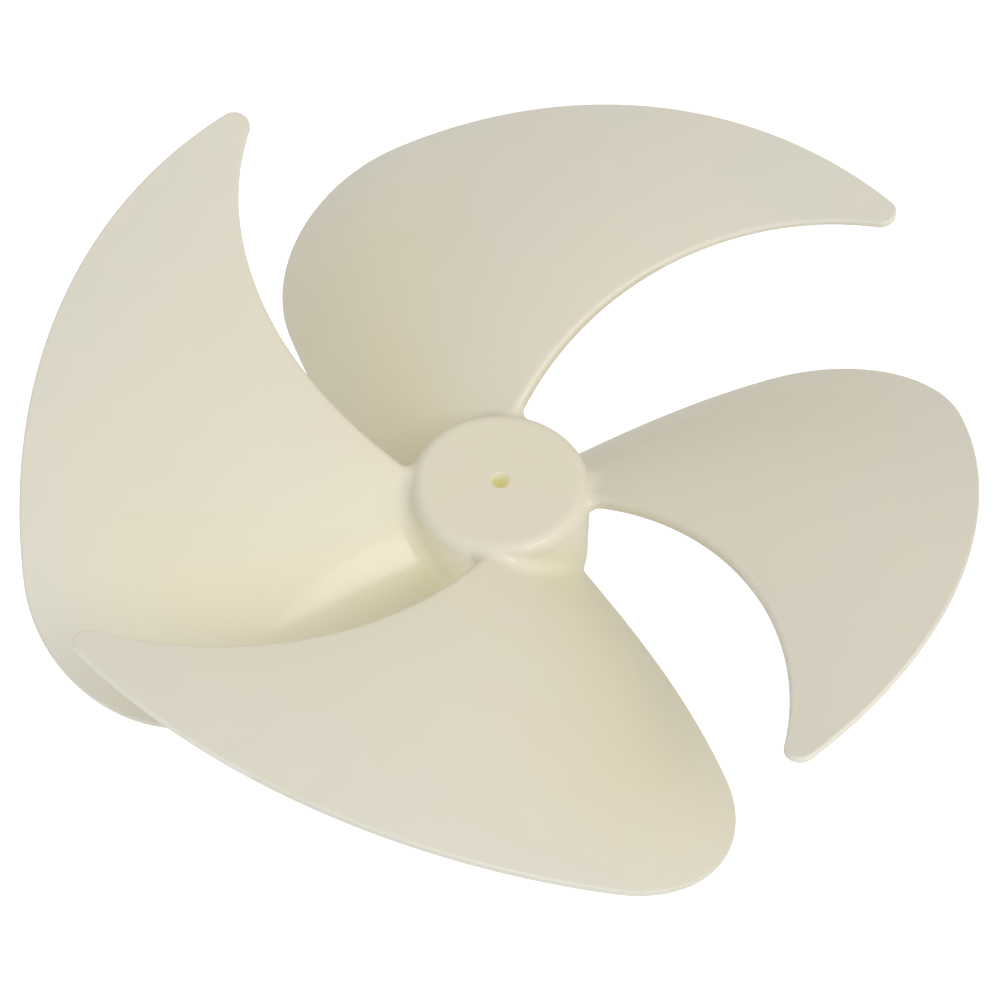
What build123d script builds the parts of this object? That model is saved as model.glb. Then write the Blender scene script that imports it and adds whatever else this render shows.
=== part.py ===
from build123d import *
import math
import os

# Axial fan impeller for a refrigerator evaporator: one injection moulding of
# an ivory plastic, four sickle blades on a hollow hub cap. The axis is Z, the
# closed face of the hub is the plane Z = 0, and air leaves towards -Z.
# All sizes are millimetres and degrees.

# Hub cap
hub_radius = 14.8
hub_height = 18.0
hub_wall = 1.8
hub_face_thickness = 2.2
hub_face_round = 2.4
face_round_steps = 3
hub_foot_bevel = 0.3

# Shaft boss and its ribs inside the cap, set back from the cap's foot
bore_diameter = 3.1
bore_chamfer = 0.4
boss_radius = 4.0
boss_setback = 2.0
rib_count = 4
rib_thickness = 1.4
rib_setback = 6.0

# Blade outline seen along the axis, corners in polar form
blade_count = 4
blade_root_overlap = 0.9
leading_root_angle = -9.5
tip_corner_radius = 80.9
tip_corner_angle = -59.1
heel_corner_radius = 81.0
heel_corner_angle = 32.4
trailing_root_angle = 71.7
leading_arc = 53.2
rim_arc = 92.1
trailing_arc = 135.5
tip_round = 2.5
heel_round = 23.1

# Heights of the blade's middle at the hub, half way out and at the tip: the
# leading ones above the hub's face, the trailing ones above the hub's foot
leading_heights = (-2.2, 9.3, 15.9)
trailing_lifts = (1.1, 0.5, -3.4)
camber_at_tip = 11.0

# Direction of the line that the trailing ends of the chords lie on
trailing_line_angle = 30.6

# Blade thickness measured along the axis, and the bevel of its root
leading_thickness_root = 3.4
leading_thickness_tip = 1.5
trailing_thickness = 1.5
root_bevel = 1.0

# The skins are drawn past the outline's four corners by these shares of its
# width and reach, then cut to the outline
skin_before_leading = 0.10
skin_past_trailing = 0.20
skin_inside_root = 0.01
skin_past_rim = 0.55

blade_root_radius = hub_radius - blade_root_overlap
boss_height = hub_height - boss_setback
rib_height = hub_height - rib_setback
plan_reach = tip_corner_radius / 2


def polar(radius, angle):
    """Point of the plan at a radius and an angle from X."""
    turn = math.radians(angle)
    return (radius * math.cos(turn), radius * math.sin(turn))


def through_three(values, share):
    """Parabola through values at shares 0, one half and 1."""
    first, middle, last = values
    return (
        first * (1 - share) * (1 - 2 * share)
        + middle * 4 * share * (1 - share)
        + last * share * (2 * share - 1)
    )


def share_outward(radius):
    """Share of the way from the hub's wall to the tip's corner."""
    return (radius - hub_radius) / (tip_corner_radius - hub_radius)


def chord_ends(radius):
    """Angles where the chord at this radius starts and ends.

    It starts on the spiral through the leading root and the tip's corner, and
    ends on the straight line that leaves the trailing root.
    """
    sweep = tip_corner_angle - leading_root_angle
    travel = (radius - blade_root_radius) / (tip_corner_radius - blade_root_radius)
    lean = math.radians(trailing_root_angle - trailing_line_angle)
    offset = blade_root_radius * math.sin(lean)
    end = trailing_line_angle + math.degrees(math.asin(min(1, offset / radius)))
    return leading_root_angle + sweep * travel, end


def camber_height(radius, share):
    """Height of the blade's middle: a chord line lifted by a parabola."""
    out = share_outward(radius)
    leading = through_three(leading_heights, out)
    trailing = through_three(trailing_lifts, out) - hub_height
    lift = 4 * camber_at_tip * radius / tip_corner_radius
    return leading * (1 - share) + trailing * share + lift * share * (1 - share)


def wall(radius, share):
    """Blade thickness along the axis, thickest at the leading root."""
    out = share_outward(radius)
    swell = (leading_thickness_root - leading_thickness_tip) * (1 - out) ** 2
    leading = leading_thickness_tip + swell
    return leading * (1 - share) + trailing_thickness * share


def plan_corners():
    """Leading root, tip, heel and trailing root of the blade in the plan."""
    return (
        polar(blade_root_radius, leading_root_angle),
        polar(tip_corner_radius, tip_corner_angle),
        polar(heel_corner_radius, heel_corner_angle),
        polar(blade_root_radius, trailing_root_angle),
    )


def between(first, second, share):
    """Point of the plan on the straight line through two others."""
    return (
        first[0] + (second[0] - first[0]) * share,
        first[1] + (second[1] - first[1]) * share,
    )


def skin_height(x, y, side):
    """Height of a blade's face over a point of the plan."""
    radius = math.hypot(x, y)
    start, end = chord_ends(radius)
    share = (math.degrees(math.atan2(y, x)) - start) / (end - start)
    return camber_height(radius, share) + side * wall(radius, share) / 2


def blade_skin(side):
    """One face of the blade, drawn past its outline: side +1 top, -1 bottom.

    The surface runs through a net of points whose lines are straight in the
    plan, so that it takes few facets.
    """
    steps = 12
    leading_root, tip, heel, trailing_root = plan_corners()
    rows = []
    for i in range(steps + 1):
        out = (1 + skin_inside_root + skin_past_rim) * i / steps - skin_inside_root
        leading = between(leading_root, tip, out)
        trailing = between(trailing_root, heel, out)
        row = []
        for j in range(steps + 1):
            span = skin_before_leading + 1 + skin_past_trailing
            share = span * j / steps - skin_before_leading
            x, y = between(leading, trailing, share)
            row.append(Vector(x, y, skin_height(x, y, side)))
        rows.append(row)
    return Face.make_surface_from_array_of_points(rows, tol=0.02, min_deg=3, max_deg=8)


def blade_outline():
    """Plan of one blade: leading arc, rim arc, trailing arc and the root."""
    leading_root, tip, heel, trailing_root = plan_corners()
    root_middle = polar(
        blade_root_radius, (leading_root_angle + trailing_root_angle) / 2
    )
    edges = [
        RadiusArc(leading_root, tip, leading_arc),
        RadiusArc(tip, heel, -rim_arc),
        RadiusArc(heel, trailing_root, -trailing_arc),
        ThreePointArc(trailing_root, root_middle, leading_root),
    ]
    return Face(Wire(edges))


def nearest_corner(face, point):
    """Corner of a plan face that lies nearest to a point."""
    return min(face.vertices(), key=lambda v: math.dist((v.X, v.Y), point))


def blade():
    """One blade: its rounded plan drawn along Z, what lies between its skins."""
    plan = blade_outline()
    tip = polar(tip_corner_radius, tip_corner_angle)
    heel = polar(heel_corner_radius, heel_corner_angle)
    plan = plan.fillet_2d(tip_round, [nearest_corner(plan, tip)])
    plan = plan.fillet_2d(heel_round, [nearest_corner(plan, heel)])
    prism = Pos(0, 0, -plan_reach) * extrude(plan, 2 * plan_reach)
    pieces = split(prism, bisect_by=blade_skin(1), keep=Keep.ALL)
    under_top = pieces.solids().sort_by(Axis.Z)[0]
    pieces = split(under_top, bisect_by=blade_skin(-1), keep=Keep.ALL)
    return pieces.solids().sort_by(Axis.Z)[-1]


def hub_cap():
    """The cap's section turned about Z: closed face above, open below.

    The round of the face's edge is turned as a few narrow cones.
    """
    inner_radius = hub_radius - hub_wall
    section = [(0, -hub_face_thickness), (0, 0)]
    for step in range(face_round_steps + 1):
        turn = math.radians(90 * step / face_round_steps)
        section.append((
            hub_radius - hub_face_round * (1 - math.sin(turn)),
            -hub_face_round * (1 - math.cos(turn)),
        ))
    section += [
        (hub_radius, hub_foot_bevel - hub_height),
        (hub_radius - hub_foot_bevel, -hub_height),
        (inner_radius, -hub_height),
        (inner_radius, -hub_face_thickness),
    ]
    corners = [(radius, 0, height) for radius, height in section]
    profile = Face(Wire.make_polygon(corners, close=True))
    pitch = 360 / blade_count
    between_blades = (trailing_root_angle + leading_root_angle + pitch) / 2
    return Rot(0, 0, between_blades) * revolve(profile, Axis.Z)


def boss_and_ribs():
    """Shaft boss under the cap's face, tied to the wall by upright ribs."""
    under_face = -hub_face_thickness / 2
    boss = Pos(0, 0, -boss_height) * Cylinder(
        boss_radius,
        boss_height + under_face,
        align=(Align.CENTER, Align.CENTER, Align.MIN),
    )
    reach = hub_radius - hub_wall / 2
    rib = Pos(reach / 2, 0, -rib_height) * Box(
        reach,
        rib_thickness,
        rib_height + under_face,
        align=(Align.CENTER, Align.CENTER, Align.MIN),
    )
    for turn in range(rib_count):
        boss += Rot(0, 0, turn * 360 / rib_count) * rib
    return boss


def shaft_bore():
    """Space of the shaft: a plain bore that opens into a cone at the boss's end."""
    radius = bore_diameter / 2
    bore = Pos(0, 0, -hub_height) * Cylinder(
        radius, 2 * hub_height, align=(Align.CENTER, Align.CENTER, Align.MIN)
    )
    lead_in = Pos(0, 0, -boss_height) * Cone(
        radius + bore_chamfer,
        radius,
        bore_chamfer,
        align=(Align.CENTER, Align.CENTER, Align.MIN),
    )
    return bore + lead_in


def root_edges(body):
    """Long sloping edges on the hub's wall, where a blade's skins run into it."""
    found = []
    for edge in body.edges():
        points = [edge @ share for share in (0, 0.25, 0.5, 0.75, 1)]
        off_wall = max(abs(math.hypot(p.X, p.Y) - hub_radius) for p in points)
        first, last = points[0], points[-1]
        around = math.hypot(last.X - first.X, last.Y - first.Y)
        drop = abs(last.Z - first.Z)
        if off_wall < 0.01 and around > hub_radius / 2 and drop > hub_height / 4:
            found.append(edge)
    return found


def impeller():
    """Cap, boss and blades in one solid, with the shaft bore through it."""
    body = hub_cap() + boss_and_ribs()
    one_blade = blade()
    for turn in range(blade_count):
        body += Rot(0, 0, turn * 360 / blade_count) * one_blade
    body = body.solids()[0]
    body = body.chamfer(root_bevel, None, root_edges(body))
    return body - shaft_bore()


if __name__ == "__main__":
    os.makedirs("parts", exist_ok=True)
    export_step(impeller(), "parts/impeller.step")
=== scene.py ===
import math

import bmesh
import bpy
import numpy as np
from mathutils import Matrix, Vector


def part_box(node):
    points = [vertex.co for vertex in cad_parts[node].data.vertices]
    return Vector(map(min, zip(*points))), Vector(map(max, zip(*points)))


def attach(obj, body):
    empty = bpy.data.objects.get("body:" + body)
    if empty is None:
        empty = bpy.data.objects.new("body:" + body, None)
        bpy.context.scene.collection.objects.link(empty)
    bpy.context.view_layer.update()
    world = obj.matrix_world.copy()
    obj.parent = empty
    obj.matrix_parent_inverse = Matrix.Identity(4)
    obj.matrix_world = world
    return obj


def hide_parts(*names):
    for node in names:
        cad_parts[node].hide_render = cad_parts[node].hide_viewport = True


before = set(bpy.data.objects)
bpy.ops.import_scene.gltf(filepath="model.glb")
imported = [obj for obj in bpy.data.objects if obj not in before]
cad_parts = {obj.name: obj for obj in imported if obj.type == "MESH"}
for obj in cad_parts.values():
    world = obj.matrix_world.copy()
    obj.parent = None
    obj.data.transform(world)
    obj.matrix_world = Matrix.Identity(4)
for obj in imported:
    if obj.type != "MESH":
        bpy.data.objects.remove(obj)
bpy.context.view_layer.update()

# Hub cap and shaft boss.
# A cap of ivory polypropylene, closed above and open below, with a boss for
# the motor shaft under its face. Both are turned shapes about the axis, as
# the cavity and the core of the mould were.
millimetre = 0.001
hub_radius = 14.8
hub_height = 18.0
hub_wall = 1.8
hub_face_thickness = 2.2
hub_face_round = 2.4
hub_foot_round = 0.3
hub_inner_round = 0.8
bore_radius = 1.55
bore_chamfer = 0.4
bore_rim_round = 0.12
boss_radius = 4.0
boss_end = -16.0
boss_root_round = 0.4
boss_end_round = 0.2
foot_inner_round = 0.15
turn_steps = 176
same_place = 1e-8
no_length = 1e-9
moulding_parts = []


def section_arc(centre_radius, centre_height, radius, start, end, steps):
    """Arc of a section: the centre plus the radius at even steps of angle."""
    angle = np.radians(np.linspace(start, end, steps + 1))
    return np.stack([
        centre_radius + radius * np.cos(angle),
        centre_height + radius * np.sin(angle),
    ], axis=1)


def section_line(first, last, steps):
    """Straight part of a section in even steps, without its two ends."""
    share = np.linspace(0, 1, steps + 1)[1:-1, None]
    return np.array(first) * (1 - share) + np.array(last) * share


def grid_quads(rows, columns, close_rows, close_columns):
    """Four-sided faces of a grid: each joins a point to the next both ways."""
    row = np.arange(rows if close_rows else rows - 1)
    column = np.arange(columns if close_columns else columns - 1)
    row, column = np.meshgrid(row, column, indexing="ij")
    next_row, next_column = (row + 1) % rows, (column + 1) % columns
    corners = [
        row * columns + column,
        next_row * columns + column,
        next_row * columns + next_column,
        row * columns + next_column,
    ]
    return np.stack(corners, axis=-1).reshape(-1, 4)


def add_to_moulding(name, points, faces):
    """Keeps a closed surface, faces outward, to be melted into the moulding."""
    mesh = bpy.data.meshes.new(name)
    mesh.from_pydata((points.reshape(-1, 3) * millimetre).tolist(), [], faces)
    work = bmesh.new()
    work.from_mesh(mesh)
    bmesh.ops.remove_doubles(work, verts=work.verts, dist=same_place)
    bmesh.ops.dissolve_degenerate(work, edges=work.edges, dist=no_length)
    bmesh.ops.recalc_face_normals(work, faces=work.faces)
    work.to_mesh(mesh)
    work.free()
    part = bpy.data.objects.new(name, mesh)
    bpy.context.collection.objects.link(part)
    moulding_parts.append(part)


inner_radius = hub_radius - hub_wall
ceiling = -hub_face_thickness
cap_section = np.vstack([
    section_arc(bore_radius + bore_rim_round, -bore_rim_round, bore_rim_round, 180, 90, 4),
    section_line((bore_radius, 0), (hub_radius - hub_face_round, 0), 16),
    section_arc(hub_radius - hub_face_round, -hub_face_round, hub_face_round, 90, 0, 12),
    section_line((hub_radius, -hub_face_round), (hub_radius, hub_foot_round - hub_height), 16),
    section_arc(
        hub_radius - hub_foot_round, hub_foot_round - hub_height, hub_foot_round, 0, -90, 5
    ),
    section_arc(
        inner_radius + foot_inner_round, foot_inner_round - hub_height,
        foot_inner_round, 270, 180, 3
    ),
    section_line((inner_radius, -hub_height), (inner_radius, ceiling - hub_inner_round), 16),
    section_arc(
        inner_radius - hub_inner_round, ceiling - hub_inner_round, hub_inner_round, 0, 90, 6
    ),
    section_line(
        (inner_radius - hub_inner_round, ceiling), (boss_radius + boss_root_round, ceiling), 10
    ),
    section_arc(
        boss_radius + boss_root_round, ceiling - boss_root_round, boss_root_round, 90, 180, 4
    ),
    section_line((boss_radius, ceiling), (boss_radius, boss_end), 14),
    section_arc(
        boss_radius - boss_end_round, boss_end + boss_end_round, boss_end_round, 0, -90, 4
    ),
    section_line((boss_radius, boss_end), (bore_radius + bore_chamfer, boss_end), 3),
    [[bore_radius + bore_chamfer, boss_end]],
    [[bore_radius, boss_end + bore_chamfer]],
    section_line((bore_radius, boss_end + bore_chamfer), (bore_radius, -bore_rim_round), 16),
])
turn = np.linspace(0, 2 * math.pi, turn_steps, endpoint=False)[:, None]
cap_points = np.stack([
    cap_section[:, 0] * np.cos(turn),
    cap_section[:, 0] * np.sin(turn),
    cap_section[:, 1] * np.ones_like(turn),
], axis=-1)
cap_faces = grid_quads(turn_steps, len(cap_section), True, True).tolist()
add_to_moulding("cap", cap_points, cap_faces)

# Ribs inside the cap.
# Four upright plates of the same moulding that tie the boss to the cap's
# wall. Their feet stop well above the foot of the hub.
rib_count = 4
rib_thickness = 1.4
rib_foot = -12.0
rib_foot_round = 0.25
rib_overlap = 0.6
rib_steps = 12
rib_half = rib_thickness / 2
round_height = rib_foot + rib_foot_round
rib_section = np.vstack([
    section_arc(rib_foot_round - rib_half, round_height, rib_foot_round, 180, 270, 4),
    section_arc(rib_half - rib_foot_round, round_height, rib_foot_round, 270, 360, 4),
    [[rib_half, ceiling + rib_overlap], [-rib_half, ceiling + rib_overlap]],
])
rib_reach = np.linspace(boss_radius - rib_overlap, inner_radius + rib_overlap, rib_steps)
rib_grid = np.stack([
    rib_reach[:, None] * np.ones(len(rib_section)),
    rib_section[:, 0] * np.ones((rib_steps, 1)),
    rib_section[:, 1] * np.ones((rib_steps, 1)),
], axis=-1)
near_end = np.arange(len(rib_section))
far_end = near_end + (rib_steps - 1) * len(rib_section)
rib_faces = grid_quads(rib_steps, len(rib_section), False, True).tolist()
rib_faces += [near_end.tolist(), far_end.tolist()]


def turned(points, angle):
    """Points turned about the axis, by the cosine and sine of the angle."""
    x, y = points[..., 0], points[..., 1]
    return np.stack([
        x * math.cos(angle) - y * math.sin(angle),
        x * math.sin(angle) + y * math.cos(angle),
        points[..., 2],
    ], axis=-1)


for number in range(rib_count):
    rib_points = turned(rib_grid, 2 * math.pi * number / rib_count)
    add_to_moulding(f"rib_{number}", rib_points, rib_faces)

# Blades.
# Four sickle blades of the same moulding. The outline is cut by walls that
# stand along the axis, the way the mould draws, and a soft fillet runs
# along each root where the blade leaves the hub.
blade_count = 4
blade_root_radius = 13.9
leading_root_angle = -9.5
tip_corner_radius = 80.9
tip_corner_angle = -59.1
heel_corner_radius = 81.0
heel_corner_angle = 32.4
trailing_root_angle = 71.7
leading_arc_radius = 53.2
rim_arc_radius = 92.1
trailing_arc_radius = 135.5
tip_round = 2.5
heel_round = 23.1
leading_heights = (-2.2, 9.3, 15.9)
trailing_heights = (-16.9, -17.5, -21.4)
camber_at_tip = 11.0
trailing_line_angle = 30.6
leading_thickness_root = 3.4
leading_thickness_tip = 1.5
trailing_thickness = 1.5
blade_edge_round = 0.4
leading_round_share = 0.4
root_fillet = 2.4
wall_fillet = 0.15
leading_wall_fillet = 2.0
skin_columns = 56
round_columns = 7
wall_columns = 3
even_part, crowded_part = 0.45, 0.55
blade_rows = 112
fillet_rows = 9
halvings = 34
blend_passes = 18
root_sink = 0.5
foot_clearance = 0.05
upright_slope = 0.15
underside_slope = -0.1
least_slope = 0.25
no_fillet = 1e-6
least_angle = 1e-6
arc_overlap = 1e-9


def plan_point(radius, angle):
    """Point of the plan at a radius and an angle from X, in degrees."""
    turn = math.radians(angle)
    return np.array([radius * math.cos(turn), radius * math.sin(turn)])


def arc_centre(first, last, radius, side):
    """Centre of the arc through two points, left (+1) or right (-1) of the way."""
    chord = last - first
    half = np.hypot(*chord) / 2
    across = np.array([-chord[1], chord[0]]) / (2 * half)
    return (first + last) / 2 + side * math.sqrt(radius ** 2 - half ** 2) * across


def circles_meet(first, first_radius, second, second_radius, near):
    """Where two circles cross, the one of the two places that lies near a point."""
    line = second - first
    length = np.hypot(*line)
    along = (first_radius ** 2 - second_radius ** 2 + length ** 2) / (2 * length)
    off = math.sqrt(first_radius ** 2 - along ** 2)
    foot = first + line * along / length
    across = np.array([-line[1], line[0]]) * off / length
    return min((foot + across, foot - across), key=lambda place: np.hypot(*(place - near)))


def toward(start, end):
    """Angle of the way from one point to another."""
    return math.atan2(end[1] - start[1], end[0] - start[0])


leading_root = plan_point(blade_root_radius, leading_root_angle)
trailing_root = plan_point(blade_root_radius, trailing_root_angle)
tip_corner = plan_point(tip_corner_radius, tip_corner_angle)
heel_corner = plan_point(heel_corner_radius, heel_corner_angle)
leading_centre = arc_centre(leading_root, tip_corner, leading_arc_radius, -1)
rim_centre = arc_centre(tip_corner, heel_corner, rim_arc_radius, 1)
trailing_centre = arc_centre(heel_corner, trailing_root, trailing_arc_radius, 1)
tip_centre = circles_meet(
    leading_centre, leading_arc_radius + tip_round,
    rim_centre, rim_arc_radius - tip_round, tip_corner,
)
heel_centre = circles_meet(
    rim_centre, rim_arc_radius - heel_round,
    trailing_centre, trailing_arc_radius - heel_round, heel_corner,
)
tip_from = toward(tip_centre, leading_centre)
tip_to = toward(rim_centre, tip_centre)
tip_to += 2 * math.pi * (tip_to < tip_from)
tip_middle = (tip_from + tip_to) / 2

# Each path is a list of arcs: centre, radius, first and last angle, and +1
# where the blade lies inside the arc or -1 where it lies outside.
leading_path = [
    (leading_centre, leading_arc_radius, toward(leading_centre, leading_root),
     toward(leading_centre, tip_centre), -1),
]
trailing_path = [
    (trailing_centre, trailing_arc_radius, toward(trailing_centre, trailing_root),
     toward(trailing_centre, heel_centre), 1),
    (heel_centre, heel_round, toward(trailing_centre, heel_centre),
     toward(rim_centre, heel_centre), 1),
    (rim_centre, rim_arc_radius, toward(rim_centre, heel_centre),
     toward(rim_centre, tip_centre), 1),
]
leading_tip = [(tip_centre, tip_round, tip_from, tip_middle, 1)]
trailing_tip = [(tip_centre, tip_round, tip_to, tip_middle, 1)]
tip_share = 0.9
tip_blend_share = 0.1
slope_step = 0.01


def along_arcs(path, share):
    """Point and outward direction at a share of the length of a path of arcs."""
    lengths = [abs(last - first) * radius for _, radius, first, last, _ in path]
    travel = np.clip(share, 0, 1) * sum(lengths)
    point = np.zeros(share.shape + (2,))
    outward = np.zeros(share.shape + (2,))
    passed = 0.0
    for (centre, radius, first, last, side), length in zip(path, lengths):
        here = (travel >= passed - arc_overlap) & (travel <= passed + length + arc_overlap)
        angle = first + (last - first) * (travel - passed) / length
        way = np.stack([np.cos(angle), np.sin(angle)], axis=-1)
        point = np.where(here[..., None], centre + radius * way, point)
        outward = np.where(here[..., None], side * way, outward)
        passed += length
    return point, outward


def blade_side(leading, out):
    """Edge of the plan from root (0) to the tip's apex (1), with its normal.

    The part up to the tip's share runs along the edge, and the rest round
    the tip.
    """
    path, tip = (leading_path, leading_tip) if leading else (trailing_path, trailing_tip)
    point, outward = along_arcs(path, out / tip_share)
    tip_point, tip_outward = along_arcs(tip, (out - tip_share) / (1 - tip_share))
    on_tip = (out > tip_share)[..., None]
    return np.where(on_tip, tip_point, point), np.where(on_tip, tip_outward, outward)


def parabola(values, share):
    """Parabola through three values at shares 0, one half and 1."""
    first, middle, last = values
    return (first * (1 - share) * (1 - 2 * share) + middle * 4 * share * (1 - share)
            + last * share * (2 * share - 1))


def chord_angles(radius):
    """Angles where the chord at a radius starts and ends.

    It starts on the spiral from the leading root to the tip's corner, and
    ends on the straight line that leaves the trailing root.
    """
    travel = (radius - blade_root_radius) / (tip_corner_radius - blade_root_radius)
    start = leading_root_angle + (tip_corner_angle - leading_root_angle) * travel
    lean = math.radians(trailing_root_angle - trailing_line_angle)
    offset = blade_root_radius * math.sin(lean)
    end = trailing_line_angle + np.degrees(np.arcsin(np.minimum(1, offset / radius)))
    return start, end


def skin_height(x, y, side):
    """Height of the upper (+1) or lower (-1) skin over a point of the plan.

    A chord line from the leading to the trailing height at that radius, plus
    a parabola of camber, plus or minus half the wall.
    """
    radius = np.hypot(x, y)
    out = (radius - hub_radius) / (tip_corner_radius - hub_radius)
    start, end = chord_angles(radius)
    share = (np.degrees(np.arctan2(y, x)) - start) / (end - start)
    middle = (
        parabola(leading_heights, out) * (1 - share)
        + parabola(trailing_heights, out) * share
        + 4 * camber_at_tip * radius / tip_corner_radius * share * (1 - share)
    )
    swell = (leading_thickness_root - leading_thickness_tip) * (1 - out) ** 2
    thickness = (leading_thickness_tip + swell) * (1 - share) + trailing_thickness * share
    return middle + side * thickness / 2


def skin_point(plan, side):
    """Point of a skin over a plan point, its outward normal, and the slant.

    The slopes come from heights a small step away each way, and the slant is
    the root of one plus both slopes squared.
    """
    x, y = plan[..., 0], plan[..., 1]
    height = skin_height(x, y, side)
    rise_x = skin_height(x + slope_step, y, side) - skin_height(x - slope_step, y, side)
    rise_y = skin_height(x, y + slope_step, side) - skin_height(x, y - slope_step, side)
    slope_x = rise_x / (2 * slope_step)
    slope_y = rise_y / (2 * slope_step)
    length = np.sqrt(1 + slope_x ** 2 + slope_y ** 2)
    normal = np.stack([-slope_x, -slope_y, np.ones_like(x)], axis=-1) * side
    return np.stack([x, y, height], axis=-1), normal / length[..., None], length


def edge_radius(leading, point, out):
    """Radius of the round along a side of the blade.

    A leading side is rounded by a share of its wall, which is nearly a full
    round, and runs into the small round of the tip and the trailing side.
    """
    reach = np.hypot(point[..., 0], point[..., 1]) - hub_radius
    thin = (1 - reach / (tip_corner_radius - hub_radius)) ** 2
    wall = leading_thickness_tip + (leading_thickness_root - leading_thickness_tip) * thin
    blunt = leading * np.clip((tip_share - out) / tip_blend_share, 0, 1)
    radius = blade_edge_round + (leading_round_share * wall - blade_edge_round) * blunt
    return radius[..., None]


def edge_ball(leading, side, out):
    """Centre, two touching directions and radius of the ball that rounds an edge.

    The ball stands inside the upright wall and under (or over) the skin.
    """
    point, outward = blade_side(leading, out)
    radius = edge_radius(leading, point, out)
    under, normal, length = skin_point(point - radius * outward, side)
    under[..., 2] -= side * radius[..., 0] * length
    upright = np.concatenate([outward, np.zeros(outward.shape[:-1] + (1,))], axis=-1)
    return under, normal, upright, radius


def swing(first, last, share):
    """Direction that turns evenly from one unit direction to another."""
    cosine = np.clip((first * last).sum(axis=-1, keepdims=True), -1, 1)
    angle = np.maximum(np.arccos(cosine), least_angle)
    return (np.sin((1 - share) * angle) * first + np.sin(share * angle) * last) / np.sin(angle)


def blade_surface(out):
    """Points and normals of the blade, a row of columns round its section.

    The columns run over the upper skin from the leading to the trailing
    side, down that side, back under the lower skin and up the leading side.
    """
    first = 0
    points, normals = [], []

    def take(count):
        nonlocal first
        part = out[first:first + count]
        first += count
        return part

    for side in (1, -1):
        part = take(skin_columns)
        starts = edge_ball(side > 0, side, part)
        ends = edge_ball(side < 0, side, part)
        begin = (starts[0] + starts[3] * starts[1])[..., :2]
        finish = (ends[0] + ends[3] * ends[1])[..., :2]
        even = np.linspace(0, 1, skin_columns)[:, None, None]
        crowded = (1 - np.cos(math.pi * even)) / 2
        share = even_part * even + crowded_part * crowded
        point, normal, _ = skin_point(begin * (1 - share) + finish * share, side)
        points.append(point)
        normals.append(normal)
        leading = side < 0
        share = (np.arange(1, round_columns + 1) / round_columns)[:, None, None]
        centre, normal, upright, radius = edge_ball(leading, side, take(round_columns))
        normal = swing(normal, upright, share)
        points.append(centre + radius * normal)
        normals.append(normal)
        share = (np.arange(1, wall_columns + 1) / (wall_columns + 1))[:, None, None]
        part = take(wall_columns)
        above, _, upright, radius = edge_ball(leading, side, part)
        below, _, _, _ = edge_ball(leading, -side, part)
        points.append(above * (1 - share) + below * share + radius * upright)
        normals.append(upright + 0 * share)
        share = (np.arange(round_columns) / round_columns)[:, None, None]
        centre, normal, upright, radius = edge_ball(leading, -side, take(round_columns))
        normal = swing(upright, normal, share)
        points.append(centre + radius * normal)
        normals.append(normal)
    return np.concatenate(points), np.concatenate(normals)


def off_hub(point):
    """Distance from the hub's outside, and the direction straight away from it.

    Below the face round it is the distance from the cylinder, and above it
    the distance from the ring that the round is a part of.
    """
    radius = np.hypot(point[..., 0], point[..., 1])
    way = point[..., :2] / radius[..., None]
    rise = np.maximum(point[..., 2] + hub_face_round, 0)
    run = radius - (hub_radius - hub_face_round)
    reach = np.hypot(run, rise)
    level = way * (run / reach)[..., None]
    direction = np.concatenate([level, (rise / reach)[..., None]], axis=-1)
    return reach - hub_face_round, direction


def roots(radius):
    """Share of the way out where the root fillet leaves the blade, by halving."""
    low = np.zeros_like(radius)
    high = np.full_like(radius, 0.5)
    for _ in range(halvings):
        middle = (low + high) / 2
        point, normal = blade_surface(middle)
        beyond = off_hub(point + radius[..., None] * normal)[0] > radius
        low, high = np.where(beyond, low, middle), np.where(beyond, middle, high)
    return (low + high) / 2


# The root fillet's radius, column by column. Under the blade it is held back
# by the room down to the hub's foot, on the leading wall it is a little less
# and on the trailing wall very small. Then it is blended along the root, by
# taking the mean with its neighbours wherever that is less.
side_columns = 2 * round_columns + wall_columns
columns = 2 * (skin_columns + side_columns)
bare_root = roots(np.full((columns, 1), no_fillet))
bare_point, bare_normal = blade_surface(bare_root)
slope = bare_normal[..., 2]
above_foot = bare_point[..., 2] + hub_height - hub_foot_round - foot_clearance
room = np.clip(above_foot / np.maximum(-slope, least_slope), wall_fillet, root_fillet)
fillet = np.where(slope < underside_slope, room, root_fillet)
at_leading = np.arange(columns)[:, None] >= columns - side_columns
upright_fillet = np.where(at_leading, leading_wall_fillet, wall_fillet)
fillet = np.where(np.abs(slope) < upright_slope, upright_fillet, fillet)
for _ in range(blend_passes):
    mean = (np.roll(fillet, 1, 0) + fillet + np.roll(fillet, -1, 0)) / 3
    fillet = np.minimum(fillet, mean)
root = roots(fillet)
out = root + (1 - root) * np.linspace(0, 1, blade_rows)
blade_points, blade_normals = blade_surface(out)
ball = blade_points[:, :1] + fillet[..., None] * blade_normals[:, :1]
touch = -off_hub(ball)[1]
toe = ball + fillet[..., None] * touch
sunk = toe + root_sink * touch
fillet_share = (np.arange(1, fillet_rows) / fillet_rows)[None, :, None]
turns = swing(touch, -blade_normals[:, :1], fillet_share)
blade_grid = np.concatenate([sunk, toe, ball + fillet[..., None] * turns, blade_points], axis=1)
column_count, row_count = blade_grid.shape[:2]
blade_faces = grid_quads(column_count, row_count, True, False).tolist()
near = np.arange(skin_columns)
far = skin_columns + side_columns + np.arange(skin_columns)[::-1]
root_caps = np.stack([near[:-1], near[1:], far[1:], far[:-1]], axis=1) * row_count
blade_faces.extend(root_caps.tolist())
blade_faces.append((np.arange(skin_columns - 1, far[-1] + 1) * row_count).tolist())
blade_faces.append((np.append(np.arange(far[0], column_count), 0) * row_count).tolist())
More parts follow.
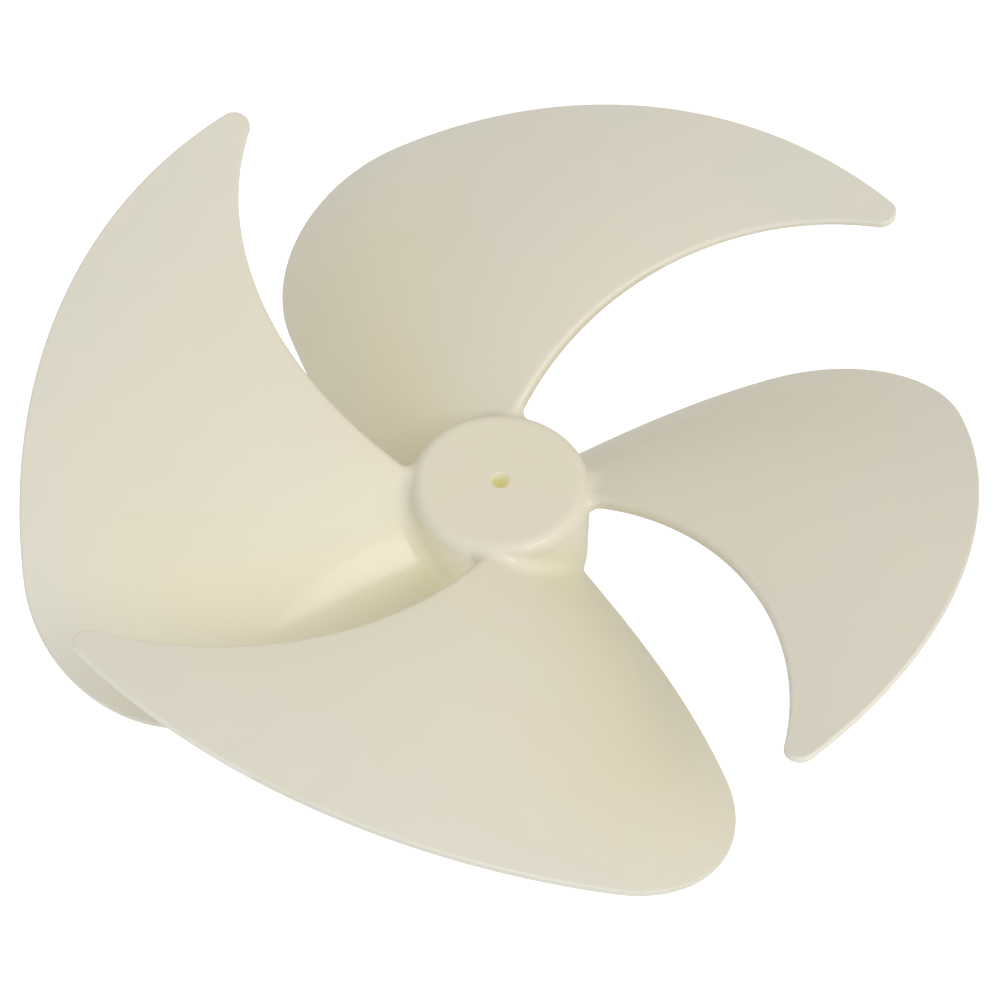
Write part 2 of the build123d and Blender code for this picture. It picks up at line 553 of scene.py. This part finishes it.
for number in range(blade_count):
    one_blade = turned(blade_grid, 2 * math.pi * number / blade_count)
    add_to_moulding(f"blade_{number}", one_blade, blade_faces)

# One moulding.
# The plastic was injected once, so cap, ribs and blades are melted into one
# closed surface with nothing left inside the walls.
weld_distance = 2e-7
sharp_angle = math.radians(35)
cap = moulding_parts[0]
for part in moulding_parts[1:]:
    melt = cap.modifiers.new(part.name, "BOOLEAN")
    melt.operation = "UNION"
    melt.solver = "MANIFOLD"
    melt.object = part
melted = cap.evaluated_get(bpy.context.evaluated_depsgraph_get())
mesh = bpy.data.meshes.new_from_object(melted)
mesh.name = "impeller_moulding"
mesh.materials.clear()
for part in moulding_parts:
    bpy.data.objects.remove(part)
work = bmesh.new()
work.from_mesh(mesh)
bmesh.ops.remove_doubles(work, verts=work.verts, dist=weld_distance)
bmesh.ops.dissolve_degenerate(work, edges=work.edges, dist=weld_distance)
open_edges = sum(not edge.is_manifold for edge in work.edges)
print("moulding: faces", len(work.faces), "open edges", open_edges)
work.to_mesh(mesh)
work.free()
mesh.shade_smooth()
mesh.set_sharp_from_angle(angle=sharp_angle)
impeller = bpy.data.objects.new("impeller_moulding", mesh)
bpy.context.collection.objects.link(impeller)

# Marks on the moulding that its plastic is coloured by: how far out a place
# is, how near the hub, the hub's thin wall, how deep in the shaft hole, the
# edges of the rim and of the leading side, and the inner part of each blade's
# trailing side. The marks by the hub, on the trailing sides and deep in the
# hole carry painted shade, the leading side's mark carries painted light, and
# the hub's wall and the hole carry a painted glow. Lengths are from the axis,
# off the hub's side or below its face. Steepness is 0 on a level place and 1
# on an upright one.
hub_fade, wall_fade, wall_inset = 13, 2.5, 0.9
hub_tint_top, hub_tint_full, wall_glow_full = 1.5, 9.5, 4.0
bore_margin, bore_dark_top, bore_dark_full = 0.05, 0.7, 2.1
cooler_from, coolest_from = 20, 80
side_tint_width, side_tint_end, side_tint_full = 12, 78, 56
side_tint_share, side_tint_spread = 0.80, 0.20
leading_share, leading_steepness = 0.3, (0.15, 0.55)
leading_tint_start, leading_tint_full = 1, 4
rim_start, rim_full, rim_steepness = 62, 70, (0.6, 0.9)
coordinates = np.empty(3 * len(mesh.vertices))
mesh.vertices.foreach_get("co", coordinates)
across, along, height = coordinates.reshape(-1, 3).T / millimetre
from_axis = np.hypot(across, along)
normals = np.empty(3 * len(mesh.vertices))
mesh.vertices.foreach_get("normal", normals)
steepness = 1 - np.abs(normals.reshape(-1, 3)[:, 2])


def ramp(values, start, end):
    """Rises evenly from 0 at the start to 1 at the end, and is level outside."""
    return np.clip((values - start) / (end - start), 0, 1)


def mark_vertices(name, values):
    """Keeps one number from 0 to 1 for every vertex of the moulding."""
    attribute = mesh.attributes.new(name, "FLOAT", "POINT")
    attribute.data.foreach_set("value", np.clip(values, 0, 1).astype(np.float32))


off_hub_side = np.maximum(from_axis - hub_radius, 0)
below_face = ramp(-height, hub_tint_top, hub_tint_full)
# Painted shade: darker and yellower round the hub, below its face.
mark_vertices("hub_corner_shade", np.exp(-off_hub_side / hub_fade) * below_face)
in_wall = np.exp(-off_hub_side / wall_fade) * (from_axis > inner_radius + wall_inset)
# Painted glow through the hub's thin wall.
mark_vertices("hub_wall", in_wall * ramp(-height, hub_tint_top, wall_glow_full))
in_bore = (from_axis < bore_radius + bore_margin) * (height < -bore_margin)
mark_vertices("in_bore", in_bore)
# Depth in the shaft hole: it sets the painted shade and the painted glow there.
mark_vertices("deep_in_bore", in_bore * ramp(-height, bore_dark_top, bore_dark_full))
mark_vertices("far_out", ramp(from_axis, cooler_from, coolest_from))
chord_start, chord_end = chord_angles(np.maximum(from_axis, blade_root_radius))
past_start = (np.degrees(np.arctan2(along, across)) - chord_start) % (360 / blade_count)
chord_share = past_start / (chord_end - chord_start)
inner_part = ramp(from_axis, hub_radius, hub_radius + side_tint_width)
inner_part *= ramp(from_axis, side_tint_end, side_tint_full)
by_trailing = np.exp(-((chord_share - side_tint_share) / side_tint_spread) ** 2)
# Painted shade on the inner part of each blade's trailing side, under the next blade.
mark_vertices("trailing_side_shade", by_trailing * inner_part)
off_root = ramp(from_axis, hub_radius + leading_tint_start, hub_radius + leading_tint_full)
by_leading = (chord_share < leading_share) * ramp(steepness, *leading_steepness)
# Painted light on the upright leading sides.
mark_vertices("leading_edge_light", by_leading * off_root)
in_rim = ramp(from_axis, rim_start, rim_full)
mark_vertices("rim_edge", in_rim * ramp(steepness, *rim_steepness))

plastic = bpy.data.materials.new("satin_ivory_polypropylene")
plastic.use_nodes = True
nodes, links = plastic.node_tree.nodes, plastic.node_tree.links
surface = nodes["Principled BSDF"]
surface.inputs["IOR"].default_value = 1.49
place = nodes.new("ShaderNodeTexCoord").outputs["Object"]


def noise(scale, detail, seed_offset=0.0):
    """Noise of the plastic on Object coordinates, in waves per metre."""
    texture = nodes.new("ShaderNodeTexNoise")
    texture.inputs["Scale"].default_value = scale
    texture.inputs["Detail"].default_value = detail
    mapping = nodes.new("ShaderNodeMapping")
    mapping.inputs["Location"].default_value = (seed_offset, seed_offset, seed_offset)
    links.new(place, mapping.inputs["Vector"])
    links.new(mapping.outputs["Vector"], texture.inputs["Vector"])
    return texture.outputs["Fac"]


def mark(name):
    """The number kept for each vertex under a name."""
    attribute = nodes.new("ShaderNodeAttribute")
    attribute.attribute_name = name
    return attribute.outputs["Fac"]


def scaled(value, low, high, to_low, to_high):
    """Value stretched from one range to another, and kept inside it."""
    stretch = nodes.new("ShaderNodeMapRange")
    stretch.inputs["From Min"].default_value = low
    stretch.inputs["From Max"].default_value = high
    stretch.inputs["To Min"].default_value = to_low
    stretch.inputs["To Max"].default_value = to_high
    links.new(value, stretch.inputs["Value"])
    return stretch.outputs["Result"]


def blended(share, first, second):
    """Colour between two others, each a colour or the output of a node."""
    mix = nodes.new("ShaderNodeMix")
    mix.data_type = "RGBA"
    links.new(share, mix.inputs["Factor"])
    for socket, colour in ((mix.inputs["A"], first), (mix.inputs["B"], second)):
        if isinstance(colour, tuple):
            socket.default_value = colour + (1,)
        else:
            links.new(colour, socket)
    return mix.outputs["Result"]


# Where the wall is thick, by the hub, the plastic looks warm, and out on the
# thin blades it is paler and cooler. The darker yellows are painted shade, by
# the hub, on the trailing sides and deep in the shaft hole, and the pale edge
# is painted light on the leading sides.
warm_ivory = (0.620, 0.580, 0.462)
cool_ivory = (0.582, 0.566, 0.490)
rosy_ivory = (0.620, 0.569, 0.474)
hub_shade_yellow = (0.612, 0.566, 0.352)
side_shade_yellow = (0.612, 0.558, 0.392)
painted_edge_light = (0.670, 0.645, 0.560)
rim_grey = (0.560, 0.570, 0.490)
bore_shade_yellow = (0.360, 0.330, 0.130)
colour = blended(mark("far_out"), warm_ivory, cool_ivory)
colour = blended(scaled(noise(38, 2), 0.45, 0.70, 0, 0.6), colour, rosy_ivory)
colour = blended(scaled(noise(140, 2, 3.0), 0.50, 0.75, 0, 0.3), colour, warm_ivory)
# Painted shade: darker and yellower on the inner part of each trailing side.
colour = blended(scaled(mark("trailing_side_shade"), 0, 1, 0, 0.6), colour, side_shade_yellow)
# Painted shade in the corner round the hub, below its face, where the blades crowd it.
colour = blended(scaled(mark("hub_corner_shade"), 0, 1, 0, 0.75), colour, hub_shade_yellow)
colour = blended(scaled(mark("rim_edge"), 0, 1, 0, 0.6), colour, rim_grey)
# Painted light: the upright leading sides are made paler, as though they caught the light.
colour = blended(scaled(mark("leading_edge_light"), 0, 1, 0, 0.8), colour, painted_edge_light)
# Painted shade: darker and yellower deep in the shaft hole.
colour = blended(mark("deep_in_bore"), colour, bore_shade_yellow)
links.new(colour, surface.inputs["Base Color"])
links.new(scaled(noise(210, 3, 7.0), 0.3, 0.7, 0.36, 0.48), surface.inputs["Roughness"])

# The skin that froze against the cold cavity is glossier than what is under
# it. A painted glow, emission with no lamp behind it, stands in for daylight
# through the boss into the shaft hole and through the hub's wall.
surface.inputs["Coat Weight"].default_value = 0.8
surface.inputs["Coat Roughness"].default_value = 0.13
surface.inputs["Coat IOR"].default_value = 1.49
no_glow = (0.0, 0.0, 0.0)
wall_glow = (0.06, 0.052, 0.032)
bore_mouth_glow = (0.20, 0.18, 0.14)
bore_glow = (0.34, 0.32, 0.17)
in_the_bore = blended(mark("deep_in_bore"), bore_mouth_glow, bore_glow)
outside = blended(mark("hub_wall"), no_glow, wall_glow)
glow = blended(mark("in_bore"), outside, in_the_bore)
links.new(glow, surface.inputs["Emission Color"])
surface.inputs["Emission Strength"].default_value = 1.0

# The cavity of the mould was spark-eroded very finely, and the thin blades
# have sunk and warped by hundredths of a millimetre.
height_map = nodes.new("ShaderNodeMath")
height_map.operation = "MULTIPLY_ADD"
height_map.inputs[1].default_value = 0.04
links.new(noise(3200, 2, 1.0), height_map.inputs[0])
links.new(noise(90, 1, 5.0), height_map.inputs[2])
relief = nodes.new("ShaderNodeBump")
relief.inputs["Strength"].default_value = 1.0
relief.inputs["Distance"].default_value = 0.00012
links.new(height_map.outputs["Value"], relief.inputs["Height"])
links.new(relief.outputs["Normal"], surface.inputs["Normal"])
mesh.materials.append(plastic)

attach(impeller, "root")
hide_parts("impeller")

# Floor.
# A lit sheet of white acrylic, as on a photographer's light table, just under
# the blades' trailing sides. It is lit from below, so shadows hardly show.
floor_height = float(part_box("impeller")[0][2])
floor_mesh = bpy.data.meshes.new("floor")
floor_half = 40.0
floor_corners = [(-floor_half, -floor_half), (floor_half, -floor_half),
                 (floor_half, floor_half), (-floor_half, floor_half)]
floor_mesh.from_pydata([(x, y, floor_height) for x, y in floor_corners], [], [(0, 1, 2, 3)])
floor = bpy.data.objects.new("floor", floor_mesh)
bpy.context.collection.objects.link(floor)
acrylic = bpy.data.materials.new("lit_white_acrylic")
acrylic.use_nodes = True
sheet = acrylic.node_tree.nodes["Principled BSDF"]
sheet.inputs["Base Color"].default_value = (0.12, 0.12, 0.12, 1)
sheet.inputs["Roughness"].default_value = 0.9
sheet.inputs["Specular IOR Level"].default_value = 0.0
sheet.inputs["Emission Color"].default_value = (1, 1, 1, 1)
sheet.inputs["Emission Strength"].default_value = 1.15
floor_mesh.materials.append(acrylic)
floor.visible_glossy = False

# Light.
# A white tent: an even bright surround, brightest in front and a little warm
# behind and at the right. The picture is shown without a film curve, so that
# white stays white.
wall_spread = math.radians(50)
bpy.context.scene.view_settings.view_transform = "Standard"
world = bpy.data.worlds.new("light_tent")
bpy.context.scene.world = world
world.use_nodes = True
world.node_tree.nodes["Background"].inputs["Color"].default_value = (1, 1, 0.97, 1)
world.node_tree.nodes["Background"].inputs["Strength"].default_value = 0.60


def facing(place):
    """Turn that points a lamp at the origin from a place."""
    depth = np.array(place) / np.linalg.norm(place)
    right = np.cross((0, 0, 1), depth)
    right = right / np.linalg.norm(right)
    return Matrix((right, np.cross(depth, right), depth)).transposed().to_4x4()


def around(azimuth, elevation):
    """Direction at an angle to the right of the front, and one above the floor."""
    azimuth, elevation = math.radians(azimuth), math.radians(elevation)
    level = math.cos(elevation)
    return level * math.sin(azimuth), -level * math.cos(azimuth), math.sin(elevation)


def tent_wall(name, azimuth, elevation, strength, colour):
    """Bright part of the tent: a wide far light, too soft to show in the gloss."""
    light = bpy.data.lights.new(name, "SUN")
    light.angle = wall_spread
    light.energy = strength
    light.color = colour
    wall = bpy.data.objects.new(name, light)
    wall.visible_glossy = False
    wall.matrix_world = facing(around(azimuth, elevation))
    bpy.context.collection.objects.link(wall)


tent_wall("front_left_wall", -45, 50, 0.56, (0.88, 0.90, 1.00))
tent_wall("front_right_wall", 45, 50, 1.24, (1.00, 1.00, 1.00))
tent_wall("front_wall", 0, 20, 0.14, (1.00, 1.00, 1.00))
tent_wall("back_wall", 180, 25, 0.24, (1.00, 0.65, 0.45))
tent_wall("right_wall", 90, 25, 0.38, (1.00, 0.80, 0.50))

# One strip softbox stands at the front right, and shows as a long bright
# patch on the blade at the left of the hub.
strip_place = around(48, 43)
strip = bpy.data.lights.new("strip_softbox", "AREA")
strip.shape = "RECTANGLE"
strip.size = 0.40
strip.size_y = 0.22
strip.energy = 0.75
softbox = bpy.data.objects.new("strip_softbox", strip)
softbox.matrix_world = Matrix.Translation(strip_place) @ facing(strip_place)
bpy.context.collection.objects.link(softbox)

# Camera.
# The photograph's view: from the front, a little over 50 degrees up, through
# a long lens that takes in the whole impeller.
camera_distance = 0.6872
camera_height_angle = math.radians(51.809)
camera_roll = math.radians(-1.487)
aim_right = math.radians(0.0050)
aim_up = math.radians(-0.2706)


def swung(first, second, angle):
    """Two directions at right angles, both swung by an angle in their plane."""
    return (first * math.cos(angle) - second * math.sin(angle),
            first * math.sin(angle) + second * math.cos(angle))


rise, run = math.sin(camera_height_angle), math.cos(camera_height_angle)
right, up, depth = np.eye(3)[0], np.array([0, rise, run]), np.array([0, run, -rise])
right, depth = swung(right, depth, aim_right)
up, depth = swung(up, depth, aim_up)
right, up = swung(right, up, camera_roll)
lens = bpy.data.cameras.new("camera")
lens.sensor_width = 36
lens.lens = 152.25
lens.clip_end = 100
camera = bpy.data.objects.new("camera", lens)
turning = Matrix((right, up, -depth)).transposed().to_4x4()
standing = Matrix.Translation((0, -camera_distance * run, camera_distance * rise))
camera.matrix_world = standing @ turning
bpy.context.collection.objects.link(camera)
bpy.context.scene.camera = camera
